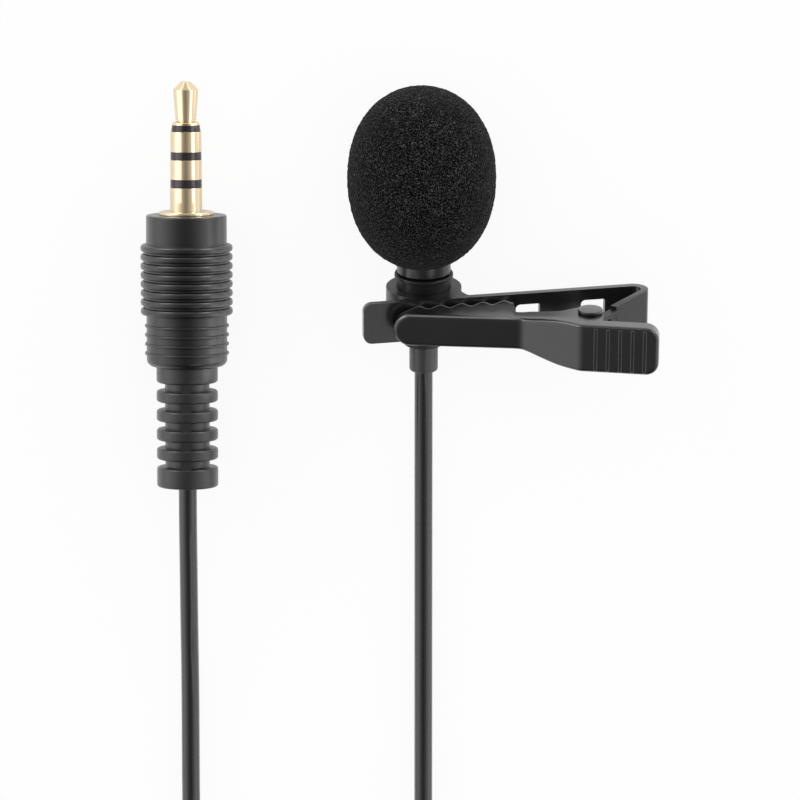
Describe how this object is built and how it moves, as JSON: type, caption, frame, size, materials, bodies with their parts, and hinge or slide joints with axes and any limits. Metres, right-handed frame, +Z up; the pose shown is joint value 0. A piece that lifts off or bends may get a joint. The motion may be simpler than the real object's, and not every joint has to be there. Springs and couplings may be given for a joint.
{
  "type": "lavalier microphone",
  "caption": "Clip-on lavalier microphone with a foam windscreen, a turning tie clip, a long thin cord wound in a coil and a four-pole jack plug.",
  "frame": {"origin": "centre of the bottom of the box round the microphone and its clip, on the table they lie on", "axes": "+Z up from the table, +Y towards the windscreen's end, +X towards the clip's thumb paddle"},
  "size_m": [0.0568, 0.1246, 0.0195],
  "materials": {
    "foam": "matte",
    "head_black": "satin",
    "grille_steel": "brushed",
    "felt": "matte",
    "seal_rubber": "matte",
    "capsule_aluminium": "satin",
    "diaphragm_film": "gloss",
    "backplate_brass": "satin",
    "board": "satin",
    "wire_insulation": "satin",
    "stem_black": "satin",
    "sleeve_rubber": "matte",
    "cord_jacket": "satin",
    "bush_plastic": "satin",
    "holder_black": "satin",
    "rivet_steel": "satin",
    "clip_black": "satin",
    "pin_black": "satin",
    "spring_steel": "satin",
    "contact_gold": "polished",
    "insulator": "satin",
    "core_plastic": "satin",
    "grip_black": "satin",
    "boot_rubber": "matte",
    "tie_strap": "matte"
  },
  "bodies": {
    "microphone": {"mic_housing": "head_black", "mic_grille": "grille_steel", "grille_felt": "felt", "capsule_seal": "seal_rubber", "capsule_can": "capsule_aluminium", "capsule_diaphragm": "diaphragm_film", "capsule_backplate": "backplate_brass", "capsule_board": "board", "mic_wires": "wire_insulation", "mic_stem": "stem_black", "mic_strain_relief": "sleeve_rubber", "mic_cord_end": "cord_jacket", "plug_tip": "contact_gold", "plug_ring_1": "contact_gold", "plug_ring_2": "contact_gold", "plug_sleeve": "contact_gold", "plug_insulator_front": "insulator", "plug_insulator_middle": "insulator", "plug_insulator_rear": "insulator", "plug_flange": "contact_gold", "plug_core": "core_plastic", "plug_wires": "wire_insulation", "plug_grip": "grip_black", "plug_strain_relief": "boot_rubber", "plug_cord_end": "cord_jacket", "cord_mic_side": "cord_jacket", "cord_coil": "cord_jacket", "cord_plug_side": "cord_jacket", "cord_tie": "tie_strap"},
    "windscreen": {"windscreen": "foam"},
    "bush": {"holder_bush": "bush_plastic"},
    "clip": {"holder_ring": "holder_black", "holder_rivet": "rivet_steel", "clip_back_plate": "clip_black", "pivot_pin": "pin_black", "torsion_spring": "spring_steel"},
    "lever": {"clip_lever": "clip_black"}
  },
  "joints": [
    {"name": "windscreen_pull", "type": "slide", "parent": "microphone", "child": "windscreen", "axis": [0, 0.9659, 0.2588], "range_m": [0, 0.016]},
    {"name": "clip_slide", "type": "slide", "parent": "microphone", "child": "bush", "axis": [0, -0.9659, -0.2588], "range_m": [0, 0.0028]},
    {"name": "clip_turn", "type": "hinge", "parent": "bush", "child": "clip", "pos_m": [-0.0084, -0.00815, 0.00456], "axis": [0, -0.9659, -0.2588], "range_deg": [-8, 130]},
    {"name": "lever_open", "type": "hinge", "parent": "clip", "child": "lever", "pos_m": [0.00949, -0.01062, 0.01378], "axis": [0, 0.9659, 0.2588], "range_deg": [0, 25], "stiffness_Nm_per_rad": 0.08, "springref_deg": -34.38, "deforming": ["torsion_spring"]}
  ]
}
